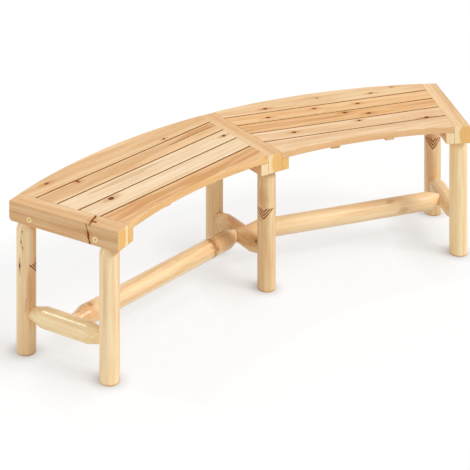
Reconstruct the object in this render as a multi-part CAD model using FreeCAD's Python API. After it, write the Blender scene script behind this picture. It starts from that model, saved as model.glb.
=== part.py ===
import FreeCAD, Part
import math
import os

# Curved log bench in two seat sections that stands round part of a tree.
# Millimetres, +Z up, +X along the bench, +Y away from the tree. The origin is on the floor, below
# the middle of the bench's box. Three leg frames point at the tree's middle, one section angle
# apart, and a seat section of five slats lies between each pair.

# Seat
seat_height = 445.0
section_angle = 27.0
front_arc_radius = 1460.0
seat_depth = 381.0

# Slats: straight between the sections' ends, with the two arcs on the front and back slats
slat_thickness = 21.0
slat_gap = 5.0
middle_slat_count = 3
edge_slat_narrowest = 56.6
slat_end_gap = 0.4
slat_easing = 1.5

# Beams: one square beam on top of each leg frame
beam_width = 55.0
beam_height = 58.0
beam_back_inset = 1.0
beam_easing = 2.0
beam_back_bevel = 7.0

# Cleats beside the beams and battens across the slats, both under the seat
cleat_width = 28.0
cleat_back_inset = 6.0
batten_width = 32.0
batten_thickness = 15.0
batten_offset = 100.0
batten_inset = 15.0
rail_easing = 1.5

# Legs
leg_diameter = 59.0
leg_front_inset = 46.0
leg_back_inset = 44.5
leg_cone_height = 22.0
leg_neck_diameter = 42.0
foot_rounding = 3.0

# Stretchers: a cross stretcher in each leg frame and a long one under each section
stretcher_diameter = 60.0
stretcher_height = 118.0
stretcher_neck_diameter = 41.0
stretcher_cone_run = 38.0
cone_sunk = 10.0
shoulder_softening = 30.0

# Round tenons and their bores
tenon_diameter = 32.0
leg_tenon_length = 38.0
tenon_depth_in_leg = 32.0
tenon_depth_in_stretcher = 21.0
tenon_end_bevel = 1.5
wood_clearance = 0.15
bore_bottom_gap = 1.0

# Bolts that hold the seat sections between the beams
bolt_diameter = 8.0
bolt_from_leg = 30.5
bolt_head_diameter = 13.0
bolt_head_height = 8.0
bolt_socket_width = 6.0
bolt_socket_depth = 4.0
bolt_end_bevel = 0.8
washer_diameter = 16.0
washer_thickness = 1.6
nut_width = 13.0
nut_height = 6.5
bolt_past_nut = 1.0
recess_diameter = 18.0
recess_depth = 10.5
metal_clearance = 0.2

# Wooden plugs over the bolt heads in the end beams
plug_thickness = 6.0
plug_proud = 1.2
plug_rim_rounding = 0.8
plug_dish_diameter = 6.0
plug_dish_depth = 0.7
plug_head_gap = 0.5

# Countersunk wood screws
screw_diameter = 4.0
screw_head_diameter = 8.0
screw_head_height = 2.6
screw_tip_length = 5.0
screw_tip_diameter = 0.8
screw_slot_length = 4.2
screw_slot_width = 0.9
screw_slot_depth = 1.5
screw_cover = 5.0
screw_clearance = 0.1
tenon_screw_length = 70.0
tenon_screw_offset = 11.0

# Places worked out from the sizes above, measured from the tree's middle
half_angle = section_angle / 2
back_arc_radius = front_arc_radius + seat_depth
beam_front = front_arc_radius
beam_back = back_arc_radius - beam_back_inset
inner_leg_radius = front_arc_radius + leg_front_inset
outer_leg_radius = back_arc_radius - leg_back_inset
stretcher_joint_radius = (inner_leg_radius + outer_leg_radius) / 2
inner_bolt_radius = inner_leg_radius + bolt_from_leg
outer_bolt_radius = outer_leg_radius - bolt_from_leg
slat_underside = seat_height - slat_thickness
beam_underside = seat_height - beam_height
cleat_height = slat_underside - beam_underside
fastener_height = beam_underside + cleat_height / 2
cleat_middle = beam_width / 2 + cleat_width / 2
cleat_free_side = beam_width / 2 + cleat_width
slat_end_offset = beam_width / 2 + slat_end_gap

UP = FreeCAD.Vector(0, 0, 1)
ALONG_X = FreeCAD.Vector(1, 0, 0)
ALONG_Y = FreeCAD.Vector(0, 1, 0)
TREE_MIDDLE = FreeCAD.Vector(0, 0, 0)
# How far a cutting tool stands out of the surface that it starts from
OVERSHOOT = 2.0
# The most of a piece's thinnest side that one rounded edge may take
EASING_LIMIT = 0.45
SAME_PLACE = 0.01


def sine(degrees):
    return math.sin(math.radians(degrees))


def cosine(degrees):
    return math.cos(math.radians(degrees))


# The box's lowest and highest Y, from the tree's middle: an end beam's eased inner corner, and the
# back arc where it meets the middle beam.
corner_lost = beam_easing * (cosine(section_angle) + sine(section_angle) - 1)
nearest_y = beam_front * cosine(section_angle) - beam_width / 2 * sine(section_angle) + corner_lost
farthest_y = math.sqrt(back_arc_radius ** 2 - slat_end_offset ** 2)
tree_distance = (nearest_y + farthest_y) / 2

# Along a long stretcher, from where the two stretchers' middle lines cross to the cross one's surface
stretcher_face_distance = stretcher_diameter / 2 / cosine(half_angle)


# General shapes

def turned(profile):
    """A solid of revolution about Z from (radius, height) points."""
    points = [FreeCAD.Vector(radius, 0, height) for radius, height in profile]
    outline = Part.makePolygon(points + points[:1])
    return Part.Face(outline).revolve(TREE_MIDDLE, UP, 360)


def block(x_range, y_range, z_range):
    """A box from three (low, high) pairs."""
    corner = FreeCAD.Vector(x_range[0], y_range[0], z_range[0])
    sizes = [high - low for low, high in (x_range, y_range, z_range)]
    return Part.makeBox(*sizes, corner)


def hexagon_prism(width, height):
    """A hexagon standing on Z = 0, with its width across the flats."""
    corner_radius = width / 2 / cosine(30)
    corners = [FreeCAD.Vector(corner_radius * cosine(60 * i), corner_radius * sine(60 * i), 0)
               for i in range(6)]
    return Part.Face(Part.makePolygon(corners + corners[:1])).extrude(UP * height)


def eased(shape, radius, edges, thinnest):
    """The shape with these edges rounded, within what its thinnest side allows."""
    return shape.makeFillet(min(radius, thinnest * EASING_LIMIT), edges)


def aimed(shape, place, direction):
    """The shape with its own Z axis turned to a direction and its origin moved to a place."""
    result = shape.copy()
    result.Placement = FreeCAD.Placement(place, FreeCAD.Rotation(UP, direction))
    return result


def swung(shape, azimuth):
    """The shape turned about the tree's middle, positive towards +X."""
    result = shape.copy()
    result.rotate(TREE_MIDDLE, UP, -azimuth)
    return result


def edges_at_height(shape, radius, height):
    """The circular edges of a turned piece with this radius and height."""
    return [edge for edge in shape.Edges
            if abs(edge.BoundBox.ZMin - height) < SAME_PLACE
            and abs(edge.BoundBox.ZMax - height) < SAME_PLACE
            and abs(edge.BoundBox.XMax - radius) < SAME_PLACE]


# Logs, drawn standing on their own Z axis

def log_end(radius, neck_radius, cone_run, sunk, tenon_depth):
    """(radius, distance) points from a log's full section to its tenon's end.

    Distance is counted from the surface that the log meets, and is negative outside it.
    """
    slope = (radius - neck_radius) / cone_run
    shoulder_radius = neck_radius - slope * sunk
    tenon_radius = tenon_diameter / 2
    return [(radius, -cone_run),
            (shoulder_radius, sunk),
            (tenon_radius, sunk),
            (tenon_radius, tenon_depth - tenon_end_bevel),
            (tenon_radius - tenon_end_bevel, tenon_depth)]


def softened(shape, radius, height):
    """The log with the ridge where its cone starts, at this height, turned into a soft curve."""
    return shape.makeFillet(shoulder_softening, edges_at_height(shape, radius, height))


def leg():
    """A leg standing on the floor, with a cone and a round tenon at its top."""
    radius = leg_diameter / 2
    top = log_end(radius, leg_neck_diameter / 2, leg_cone_height, 0, leg_tenon_length)
    profile = [(0, 0), (radius, 0)]
    profile += [(r, beam_underside + distance) for r, distance in top]
    profile += [(0, beam_underside + leg_tenon_length)]
    shape = turned(profile)
    shape = eased(shape, foot_rounding, edges_at_height(shape, radius, 0), leg_diameter)
    cone_start = beam_underside - leg_cone_height
    return softened(shape, radius, cone_start)


def stretcher(half_length, tenon_depth):
    """A log with the same coned end and tenon both ways, its middle at Z = 0.

    half_length is from the log's middle to the surface that it meets.
    """
    radius = stretcher_diameter / 2
    end = log_end(radius, stretcher_neck_diameter / 2, stretcher_cone_run, cone_sunk, tenon_depth)
    upper = [(r, half_length + distance) for r, distance in end]
    lower = [(r, -height) for r, height in reversed(upper)]
    tip = half_length + tenon_depth
    shape = turned([(0, -tip)] + lower + upper + [(0, tip)])
    cone_start = half_length - stretcher_cone_run
    for height in (cone_start, -cone_start):
        shape = softened(shape, radius, height)
    return shape


def stretcher_socket(tenon_depth):
    """The tool that cuts a stretcher's socket. The surface is at Z = 0 and the hole goes up Z."""
    neck_radius = stretcher_neck_diameter / 2
    slope = (stretcher_diameter / 2 - neck_radius) / stretcher_cone_run
    shoulder_radius = neck_radius - slope * cone_sunk
    bore_radius = tenon_diameter / 2 + wood_clearance
    mouth = stretcher_neck_diameter
    bottom = tenon_depth + bore_bottom_gap
    return turned([(0, -mouth),
                   (neck_radius + slope * mouth + wood_clearance, -mouth),
                   (shoulder_radius + wood_clearance, cone_sunk + wood_clearance),
                   (bore_radius, cone_sunk + wood_clearance),
                   (bore_radius, bottom),
                   (0, bottom)])


# Fasteners, drawn with their heads at Z = 0 and their tips up Z

def screw_profile(length, clearance):
    """(radius, height) points of a countersunk screw, or of its hole with a clearance."""
    return [(screw_head_diameter / 2 + clearance, 0),
            (screw_diameter / 2 + clearance, screw_head_height),
            (screw_diameter / 2 + clearance, length - screw_tip_length),
            (screw_tip_diameter / 2 + clearance, length + clearance),
            (0, length + clearance)]


def wood_screw(length):
    """A countersunk screw with a cross recess in its head."""
    body = turned([(0, 0)] + screw_profile(length, 0))
    half_length = screw_slot_length / 2
    half_width = screw_slot_width / 2
    depth = (-OVERSHOOT, screw_slot_depth)
    slot = block((-half_length, half_length), (-half_width, half_width), depth)
    cross_slot = block((-half_width, half_width), (-half_length, half_length), depth)
    return body.cut([slot, cross_slot])


def screw_hole(length):
    """The tool that cuts a screw's countersunk hole."""
    head_radius = screw_head_diameter / 2 + screw_clearance
    mouth = [(0, -OVERSHOOT), (head_radius, -OVERSHOOT)]
    return turned(mouth + screw_profile(length, screw_clearance))


def socket_bolt(shank_length):
    """A bolt whose head is below Z = 0, with a hexagon socket, and whose shank goes up Z."""
    head_radius = bolt_head_diameter / 2
    shank_radius = bolt_diameter / 2
    body = turned([(0, -bolt_head_height),
                   (head_radius, -bolt_head_height),
                   (head_radius, 0),
                   (shank_radius, 0),
                   (shank_radius, shank_length - bolt_end_bevel),
                   (shank_radius - bolt_end_bevel, shank_length),
                   (0, shank_length)])
    socket = hexagon_prism(bolt_socket_width, bolt_socket_depth + OVERSHOOT)
    socket.translate(UP * -(bolt_head_height + OVERSHOOT))
    return body.cut(socket)


def washer():
    """A washer standing on Z = 0."""
    hole_radius = bolt_diameter / 2 + metal_clearance
    return turned([(hole_radius, 0),
                   (washer_diameter / 2, 0),
                   (washer_diameter / 2, washer_thickness),
                   (hole_radius, washer_thickness)])


def nut():
    """A hexagon nut standing on Z = 0."""
    hole = Part.makeCylinder(bolt_diameter / 2 + metal_clearance, nut_height)
    return hexagon_prism(nut_width, nut_height).cut(hole)


def plug():
    """A turned wooden button with its seat at Z = 0 and its dished, rounded face up Z."""
    radius = recess_diameter / 2 - wood_clearance
    top = plug_thickness + plug_proud
    dish_radius = plug_dish_diameter / 2
    shape = turned([(0, 0), (radius, 0), (radius, top), (dish_radius, top),
                    (0, top - plug_dish_depth)])
    return eased(shape, plug_rim_rounding, edges_at_height(shape, radius, top), plug_thickness)


# Leg frames, drawn along +Y with the tree's middle at the origin. A side of 1 means that a seat
# section lies on the frame's +X side, and -1 on its -X side.

plug_recess_depth = washer_thickness + bolt_head_height + plug_head_gap + plug_thickness
bolt_radii = (inner_bolt_radius, outer_bolt_radius)
leg_radii = (inner_leg_radius, outer_leg_radius)


def sideways(radius, x):
    """A point at the fasteners' height, so far from the tree and beside the frame's middle."""
    return FreeCAD.Vector(x, radius, fastener_height)


def tenon_screw_start(side):
    """Where a tenon screw starts, on the free side of the cleat, from its leg's foot."""
    return FreeCAD.Vector(side * cleat_free_side, -tenon_screw_offset, fastener_height)


def tenon_screw_places(side):
    """Where a leg frame's tenon screws start, and their aim."""
    return [(ALONG_Y * radius + tenon_screw_start(side), ALONG_X * -side)
            for radius in leg_radii]


def panel_bolt_spans(sides):
    """(place, direction, grip) of a leg frame's bolts, from washer seat to washer seat.

    An end beam's bolt starts deep in the beam, under its plug, and a middle one in the -X cleat.
    """
    nut_seat = cleat_free_side - recess_depth
    if len(sides) == 2:
        start = -nut_seat
        direction = 1
    else:
        direction = sides[0]
        start = -direction * (beam_width / 2 - plug_recess_depth)
    grip = nut_seat - direction * start
    return [(sideways(radius, start), ALONG_X * direction, grip) for radius in bolt_radii]


def beam(sides):
    """A square beam with eased edges, bored for two legs, the bolts and the tenon screws."""
    half = beam_width / 2
    shape = block((-half, half), (beam_front, beam_back), (beam_underside, seat_height))
    bevel_edge = [edge for edge in shape.Edges
                  if abs(edge.BoundBox.YMin - beam_back) < SAME_PLACE
                  and abs(edge.BoundBox.ZMax - beam_underside) < SAME_PLACE]
    shape = shape.makeChamfer(beam_back_bevel, bevel_edge)
    shape = eased(shape, beam_easing, shape.Edges, min(beam_width, beam_height))
    tools = []
    for radius in leg_radii:
        place = FreeCAD.Vector(0, radius, beam_underside - OVERSHOOT)
        depth = OVERSHOOT + leg_tenon_length + bore_bottom_gap
        tools.append(Part.makeCylinder(tenon_diameter / 2 + wood_clearance, depth, place))
    hole_radius = bolt_diameter / 2 + metal_clearance
    for place, direction, grip in panel_bolt_spans(sides):
        start = sideways(place.y, -beam_width)
        tools.append(Part.makeCylinder(hole_radius, 2 * beam_width, start, ALONG_X))
        if len(sides) == 1:
            recess = Part.makeCylinder(recess_diameter / 2, beam_width, place, direction * -1)
            tools.append(recess)
    for place, direction in tenon_screw_places(sides[0]):
        tools.append(aimed(screw_hole(tenon_screw_length), place, direction))
    return shape.cut(tools)


def frame_leg(radius, side, towards_stretcher):
    """A leg in its place, bored for the cross stretcher's tenon and drilled for its screw."""
    face = FreeCAD.Vector(0, towards_stretcher * leg_diameter / 2, stretcher_height)
    socket = aimed(stretcher_socket(tenon_depth_in_leg), face, ALONG_Y * -towards_stretcher)
    hole = aimed(screw_hole(tenon_screw_length), tenon_screw_start(side), ALONG_X * -side)
    shape = leg().cut([socket, hole])
    shape.translate(ALONG_Y * radius)
    return shape


def cross_stretcher(sides):
    """The stretcher between a frame's legs, bored for each long stretcher that meets it."""
    half_length = (outer_leg_radius - inner_leg_radius - leg_diameter) / 2
    shape = aimed(stretcher(half_length, tenon_depth_in_leg), TREE_MIDDLE, ALONG_Y)
    tools = []
    for side in sides:
        outwards = FreeCAD.Vector(side * cosine(half_angle), -sine(half_angle), 0)
        socket = stretcher_socket(tenon_depth_in_stretcher)
        tools.append(aimed(socket, outwards * stretcher_face_distance, outwards * -1))
    shape = shape.cut(tools)
    shape.translate(FreeCAD.Vector(0, stretcher_joint_radius, stretcher_height))
    return shape


# Seat sections, drawn with their middle line along +Y and the tree's middle at the origin

def beside_beam(radius, offset, end):
    """A plan point beside the beam at the -X (end -1) or +X (end 1) side of a section.

    radius runs along the beam and offset from its middle into the section.
    """
    x = radius * sine(half_angle) - offset * cosine(half_angle)
    y = radius * cosine(half_angle) + offset * sine(half_angle)
    return FreeCAD.Vector(end * x, y, 0)


def radius_on_line(y, offset):
    """How far along the beam a slat's straight edge at this Y crosses a line beside the beam."""
    return (y - offset * sine(half_angle)) / cosine(half_angle)


def radius_on_arc(arc_radius, offset):
    """How far along the beam an arc crosses a line beside the beam."""
    return math.sqrt(arc_radius ** 2 - offset ** 2)


front_straight_edge = front_arc_radius + edge_slat_narrowest
back_end_radius = radius_on_arc(back_arc_radius, slat_end_offset) - edge_slat_narrowest
back_straight_edge = beside_beam(back_end_radius, slat_end_offset, 1).y
slat_pitch = (back_straight_edge - front_straight_edge - slat_gap) / middle_slat_count
slat_edges = [(front_arc_radius, front_straight_edge)]
for number in range(middle_slat_count):
    slat_start = front_straight_edge + slat_gap + number * slat_pitch
    slat_edges.append((slat_start, slat_start + slat_pitch - slat_gap))
slat_edges.append((back_straight_edge, back_arc_radius))


def crossing(slat_number, offset):
    """Where a slat's front and back edges cross a line beside the beam, along that beam."""
    low, high = slat_edges[slat_number]
    if slat_number == 0:
        front = radius_on_arc(low, offset)
    else:
        front = radius_on_line(low, offset)
    if slat_number == len(slat_edges) - 1:
        back = radius_on_arc(high, offset)
    else:
        back = radius_on_line(high, offset)
    return front, back


def crossing_batten(slat_number, x):
    """Where a slat's front and back edges cross a batten's middle line, as Y."""
    low, high = slat_edges[slat_number]
    if slat_number == 0:
        low = radius_on_arc(low, x)
    if slat_number == len(slat_edges) - 1:
        high = radius_on_arc(high, x)
    return low, high


def slat(slat_number):
    """A slat cut to the beams' angle at its ends, with eased long edges and pilot holes."""
    low, high = slat_edges[slat_number]
    front, back = crossing(slat_number, slat_end_offset)
    front_left, back_left = [beside_beam(r, slat_end_offset, -1) for r in (front, back)]
    front_right, back_right = [beside_beam(r, slat_end_offset, 1) for r in (front, back)]
    front_edge = Part.makeLine(front_left, front_right)
    back_edge = Part.makeLine(back_right, back_left)
    if slat_number == 0:
        front_edge = Part.Arc(front_left, FreeCAD.Vector(0, low, 0), front_right).toShape()
    if slat_number == len(slat_edges) - 1:
        back_edge = Part.Arc(back_right, FreeCAD.Vector(0, high, 0), back_left).toShape()
    ends = [Part.makeLine(front_right, back_right), Part.makeLine(back_left, front_left)]
    outline = Part.Wire([front_edge, ends[0], back_edge, ends[1]])
    shape = Part.Face(outline).extrude(UP * slat_thickness)
    shape.translate(UP * slat_underside)
    long_edges = [edge for edge in shape.Edges if edge.BoundBox.XMin < 0 < edge.BoundBox.XMax]
    shape = eased(shape, slat_easing, long_edges, slat_thickness)
    places = cleat_screw_places(slat_number) + batten_screw_places(slat_number)
    return shape.cut([aimed(screw_hole(length), place, UP) for place, length in places])


def cleat_screw_places(slat_number):
    """(place, length) of the screws that hold a slat on the two cleats."""
    middle = sum(crossing(slat_number, cleat_middle)) / 2
    length = cleat_height + slat_thickness - screw_cover
    return [(beside_beam(middle, cleat_middle, end) + UP * beam_underside, length)
            for end in (-1, 1)]


def batten_screw_places(slat_number):
    """(place, length) of the screws that hold a slat on the two battens."""
    middle = sum(crossing_batten(slat_number, batten_offset)) / 2
    length = batten_thickness + slat_thickness - screw_cover
    height = slat_underside - batten_thickness
    return [(FreeCAD.Vector(end * batten_offset, middle, height), length) for end in (-1, 1)]


def batten(end):
    """A batten across the slats, set back from both arcs and drilled for the slats' screws."""
    outer_side = batten_offset + batten_width / 2
    x_range = sorted((end * outer_side, end * (outer_side - batten_width)))
    y_range = (front_arc_radius + batten_inset,
               radius_on_arc(back_arc_radius, outer_side) - batten_inset)
    shape = block(x_range, y_range, (slat_underside - batten_thickness, slat_underside))
    shape = eased(shape, rail_easing, shape.Edges, batten_thickness)
    tools = []
    for slat_number in range(len(slat_edges)):
        place, length = batten_screw_places(slat_number)[(end + 1) // 2]
        tools.append(aimed(screw_hole(length), place, UP))
    return shape.cut(tools)


def cleat(end, holds_tenon_screws):
    """A cleat beside the beam at one end of a section, with recesses for its nuts or heads."""
    x_range = (-cleat_free_side, -beam_width / 2)
    y_range = (beam_front, beam_back - cleat_back_inset)
    shape = block(x_range, y_range, (beam_underside, slat_underside))
    shape = eased(shape, rail_easing, shape.Edges, cleat_width)
    tools = []
    for radius in bolt_radii:
        hole_start = sideways(radius, -cleat_free_side - OVERSHOOT)
        hole_radius = bolt_diameter / 2 + metal_clearance
        tools.append(Part.makeCylinder(hole_radius, 2 * cleat_width, hole_start, ALONG_X))
        recess_length = OVERSHOOT + recess_depth
        tools.append(Part.makeCylinder(recess_diameter / 2, recess_length, hole_start, ALONG_X))
    if holds_tenon_screws:
        for place, direction in tenon_screw_places(-1):
            tools.append(aimed(screw_hole(tenon_screw_length), place, direction))
    shape = swung(shape.cut(tools), half_angle)
    if end < 0:
        shape = shape.mirror(TREE_MIDDLE, ALONG_X)
    tools = []
    for slat_number in range(len(slat_edges)):
        place, length = cleat_screw_places(slat_number)[(end + 1) // 2]
        tools.append(aimed(screw_hole(length), place, UP))
    return shape.cut(tools)


def long_stretcher():
    """The stretcher under a section, from one cross stretcher to the next."""
    reach = stretcher_joint_radius * sine(half_angle)
    middle = FreeCAD.Vector(0, stretcher_joint_radius * cosine(half_angle), stretcher_height)
    shape = stretcher(reach - stretcher_face_distance, tenon_depth_in_stretcher)
    return aimed(shape, middle, ALONG_X)


# The whole bench

def save(name, shapes, azimuth=0):
    """Writes one node, turned to its azimuth and moved so that the box's middle is the origin."""
    shape = shapes[0] if len(shapes) == 1 else Part.makeCompound(shapes)
    shape = swung(shape, azimuth)
    shape.translate(FreeCAD.Vector(0, -tree_distance, 0))
    shape.exportStep("parts/" + name + ".step")


# Each leg frame: its name, its azimuth and the sides on which a seat section lies
leg_frames = [("left", -section_angle, [1]),
              ("middle", 0, [-1, 1]),
              ("right", section_angle, [-1])]
# Each section: its name, its azimuth and what its cleats and battens at each end are called
sections = [("left", -half_angle, {"outer": -1, "inner": 1}),
            ("right", half_angle, {"inner": -1, "outer": 1})]
# The middle frame's tenon screws start in the left section's inner cleat
cleats_with_tenon_screws = ("left_outer_cleat", "left_inner_cleat", "right_outer_cleat")
beam_names = {"left": "left_end_beam", "middle": "middle_beam", "right": "right_end_beam"}
slat_names = ["front_slat"]
slat_names += ["seat_slat_" + str(number + 1) for number in range(middle_slat_count)]
slat_names += ["back_slat"]


def frame_fasteners(azimuth, sides):
    """A leg frame's bolts, washers, nuts, plugs and tenon screws, each turned to its place."""
    groups = {"panel_bolts": [], "bolt_washers": [], "bolt_nuts": [], "bolt_plugs": [],
              "tenon_screws": []}
    for place, direction, grip in panel_bolt_spans(sides):
        shank_length = grip + 2 * washer_thickness + nut_height + bolt_past_nut
        head_seat = place - direction * washer_thickness
        nut_seat = place + direction * grip
        groups["panel_bolts"].append(aimed(socket_bolt(shank_length), head_seat, direction))
        groups["bolt_washers"].append(aimed(washer(), head_seat, direction))
        groups["bolt_washers"].append(aimed(washer(), nut_seat, direction))
        groups["bolt_nuts"].append(aimed(nut(), nut_seat + direction * washer_thickness, direction))
        if len(sides) == 1:
            plug_seat = place - direction * (plug_recess_depth - plug_thickness)
            groups["bolt_plugs"].append(aimed(plug(), plug_seat, direction * -1))
    for place, direction in tenon_screw_places(sides[0]):
        groups["tenon_screws"].append(aimed(wood_screw(tenon_screw_length), place, direction))
    return {name: [swung(shape, azimuth) for shape in shapes] for name, shapes in groups.items()}


def main():
    os.makedirs("parts", exist_ok=True)
    fasteners = {"cleat_screws": [], "batten_screws": []}
    for name, azimuth, sides in leg_frames:
        save(beam_names[name], [beam(sides)], azimuth)
        save(name + "_inner_leg", [frame_leg(inner_leg_radius, sides[0], 1)], azimuth)
        save(name + "_outer_leg", [frame_leg(outer_leg_radius, sides[0], -1)], azimuth)
        save(name + "_cross_stretcher", [cross_stretcher(sides)], azimuth)
        for group, shapes in frame_fasteners(azimuth, sides).items():
            fasteners.setdefault(group, []).extend(shapes)
    for name, azimuth, ends in sections:
        save(name + "_long_stretcher", [long_stretcher()], azimuth)
        for slat_number, slat_name in enumerate(slat_names):
            save(name + "_" + slat_name, [slat(slat_number)], azimuth)
            for place, length in cleat_screw_places(slat_number):
                screw = aimed(wood_screw(length), place, UP)
                fasteners["cleat_screws"].append(swung(screw, azimuth))
            for place, length in batten_screw_places(slat_number):
                screw = aimed(wood_screw(length), place, UP)
                fasteners["batten_screws"].append(swung(screw, azimuth))
        for place_name, end in ends.items():
            save(name + "_" + place_name + "_batten", [batten(end)], azimuth)
            cleat_name = name + "_" + place_name + "_cleat"
            holds_tenon_screws = cleat_name in cleats_with_tenon_screws
            save(cleat_name, [cleat(end, holds_tenon_screws)], azimuth)
    for name, shapes in fasteners.items():
        save(name, shapes)


main()
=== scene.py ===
import math

import bpy
from mathutils import Euler, Matrix, Vector


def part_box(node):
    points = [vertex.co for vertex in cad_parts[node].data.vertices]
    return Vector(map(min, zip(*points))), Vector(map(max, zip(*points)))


# Looks of a curved log bench in two seat sections that stands round part of a tree.
# Metres, +Z up, +X along the bench, +Y away from the tree, the floor at Z = 0. Every solid of the
# bench keeps its own mesh. This script gives each one a wood or a steel of its own, and adds the
# floor, the light and the camera.

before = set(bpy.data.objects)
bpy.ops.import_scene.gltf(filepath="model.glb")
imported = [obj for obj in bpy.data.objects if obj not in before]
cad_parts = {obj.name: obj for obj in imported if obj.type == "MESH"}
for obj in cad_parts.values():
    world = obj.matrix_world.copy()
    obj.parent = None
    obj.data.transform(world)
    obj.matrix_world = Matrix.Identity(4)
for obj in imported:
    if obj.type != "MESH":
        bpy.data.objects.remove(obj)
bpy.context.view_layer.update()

MILLIMETRE = 0.001
SAME_SIZE = (1, 1, 1)
WHITE = (1, 1, 1, 1)

# The bench's layout. Radii and azimuths are about the tree's middle, and azimuths are in degrees,
# positive towards +X. The bolts' plugs lie in the end beams' outer faces.
SECTION_ANGLE = 27.0
FRONT_ARC_RADIUS = 1460 * MILLIMETRE
BOLT_RADII = (1536.5 * MILLIMETRE, 1766 * MILLIMETRE)
PLUG_HEIGHT = 405.5 * MILLIMETRE
PLUG_FROM_MIDDLE = 28 * MILLIMETRE
TREE_MIDDLE = Vector((0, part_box("middle_beam")[0].y - FRONT_ARC_RADIUS, 0))
FRAME_AZIMUTHS = {"left": -SECTION_ANGLE, "middle": 0.0, "right": SECTION_ANGLE}
SECTION_AZIMUTHS = {"left": -SECTION_ANGLE / 2, "right": SECTION_ANGLE / 2}


# Node helpers

def put(tree, kind, inputs=None, **settings):
    """Adds a node, sets its properties, sets or links its inputs, and gives its outputs."""
    node = tree.nodes.new(kind)
    for name, value in settings.items():
        setattr(node, name, value)
    for key, value in (inputs or {}).items():
        if isinstance(value, bpy.types.NodeSocket):
            tree.links.new(value, node.inputs[key])
        else:
            node.inputs[key].default_value = value
    return node.outputs


def calc(tree, operation, *values):
    """One Math node."""
    return put(tree, "ShaderNodeMath", dict(enumerate(values)), operation=operation)[0]


def product(tree, result, *factors):
    """Numbers multiplied."""
    for factor in factors:
        result = calc(tree, "MULTIPLY", result, factor)
    return result


def centred(tree, share):
    """A share from 0 to 1 as a number from -0.5 to 0.5."""
    return calc(tree, "SUBTRACT", share, 0.5)


def vector_calc(tree, operation, *values):
    """One Vector Math node with a vector result."""
    return put(tree, "ShaderNodeVectorMath", dict(enumerate(values)), operation=operation)[0]


def centred_vector(tree, vector):
    """Three shares from 0 to 1 as numbers from -0.5 to 0.5."""
    return vector_calc(tree, "SUBTRACT", vector, (0.5, 0.5, 0.5))


def distance(tree, vector):
    """A vector's length."""
    return put(tree, "ShaderNodeVectorMath", {0: vector}, operation="LENGTH")["Value"]


def vector_of(tree, *parts):
    """A vector made of up to three numbers."""
    return put(tree, "ShaderNodeCombineXYZ", dict(enumerate(parts)))[0]


def parts_of(tree, vector):
    """A vector's X, Y and Z."""
    return put(tree, "ShaderNodeSeparateXYZ", {0: vector})[:3]


def smooth_step(tree, value, low, high):
    """0 below low, 1 above high, and a smooth rise between them. low may be above high."""
    inputs = {"Value": value, "From Min": low, "From Max": high}
    return put(tree, "ShaderNodeMapRange", inputs, interpolation_type="SMOOTHSTEP")[0]


def remap(tree, value, low, high):
    """0 to 1 as low to high."""
    return put(tree, "ShaderNodeMapRange", {"Value": value, "To Min": low, "To Max": high})[0]


def noise(tree, vector, scale, detail=2.0, roughness=0.5):
    """The outputs of a noise texture."""
    inputs = {"Vector": vector, "Scale": scale, "Detail": detail, "Roughness": roughness}
    return put(tree, "ShaderNodeTexNoise", inputs)


def mixed(tree, factor, first, second, blend="MIX"):
    """A blend of two colours. The node's colour inputs are 6 and 7, and its colour output is 2."""
    return put(tree, "ShaderNodeMix", {0: factor, 6: first, 7: second}, data_type="RGBA",
               blend_type=blend)[2]


def moved(tree, vector, place, turn, size, kind):
    """A point taken into a placed, turned and sized space (TEXTURE) or out of it (POINT)."""
    inputs = {"Vector": vector, "Location": place, "Rotation": turn, "Scale": size}
    return put(tree, "ShaderNodeMapping", inputs, vector_type=kind)[0]


def bumped(tree, height, strength, depth):
    """The surface's normal, tilted by a height. A height of 1 stands for depth millimetres."""
    inputs = {"Height": height, "Strength": strength, "Distance": depth * MILLIMETRE}
    return put(tree, "ShaderNodeBump", inputs)[0]


def empty_tree(owner):
    """The node tree of a material or a world, with nothing in it."""
    owner.use_nodes = True
    owner.node_tree.nodes.clear()
    return owner.node_tree


def new_group(name, inputs, outputs):
    """A new node group, the sockets that come into it and the ones that leave it."""
    tree = bpy.data.node_groups.new(name, "ShaderNodeTree")
    kinds = {"float": "NodeSocketFloat", "vector": "NodeSocketVector"}
    for direction, sockets in (("INPUT", inputs), ("OUTPUT", outputs)):
        for socket, kind in sockets.items():
            tree.interface.new_socket(socket, in_out=direction, socket_type=kinds[kind])
    start = tree.nodes.new("NodeGroupInput")
    end = tree.nodes.new("NodeGroupOutput")
    return tree, start.outputs, end.inputs


def use_group(tree, group, inputs):
    """Adds a group node and gives its outputs."""
    return put(tree, "ShaderNodeGroup", inputs, node_tree=group)


def colour(red, green, blue):
    """A colour as it looks on a screen, 0 to 255, as the shader's own numbers.

    The numbers in it are the sRGB standard's.
    """
    def linear(level):
        share = level / 255
        if share <= 0.04045:
            return share / 12.92
        return ((share + 0.055) / 1.055) ** 2.4
    return (linear(red), linear(green), linear(blue), 1.0)


# Wood, drawn in a space whose X runs along the grain and whose YZ plane is the log's section.
# In the values below, a scale is in waves to the metre, or to the radius of a mark. A draw is a
# factor on each axis, and one below 1 on X draws a pattern out along the grain. A fade is the value
# where something starts and the one where it is whole.

ACROSS_GRAIN = (0, 1, 1)
SLOW_DRAW = (0.1, 1, 1)
WANDER_SCALE = 13
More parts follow.
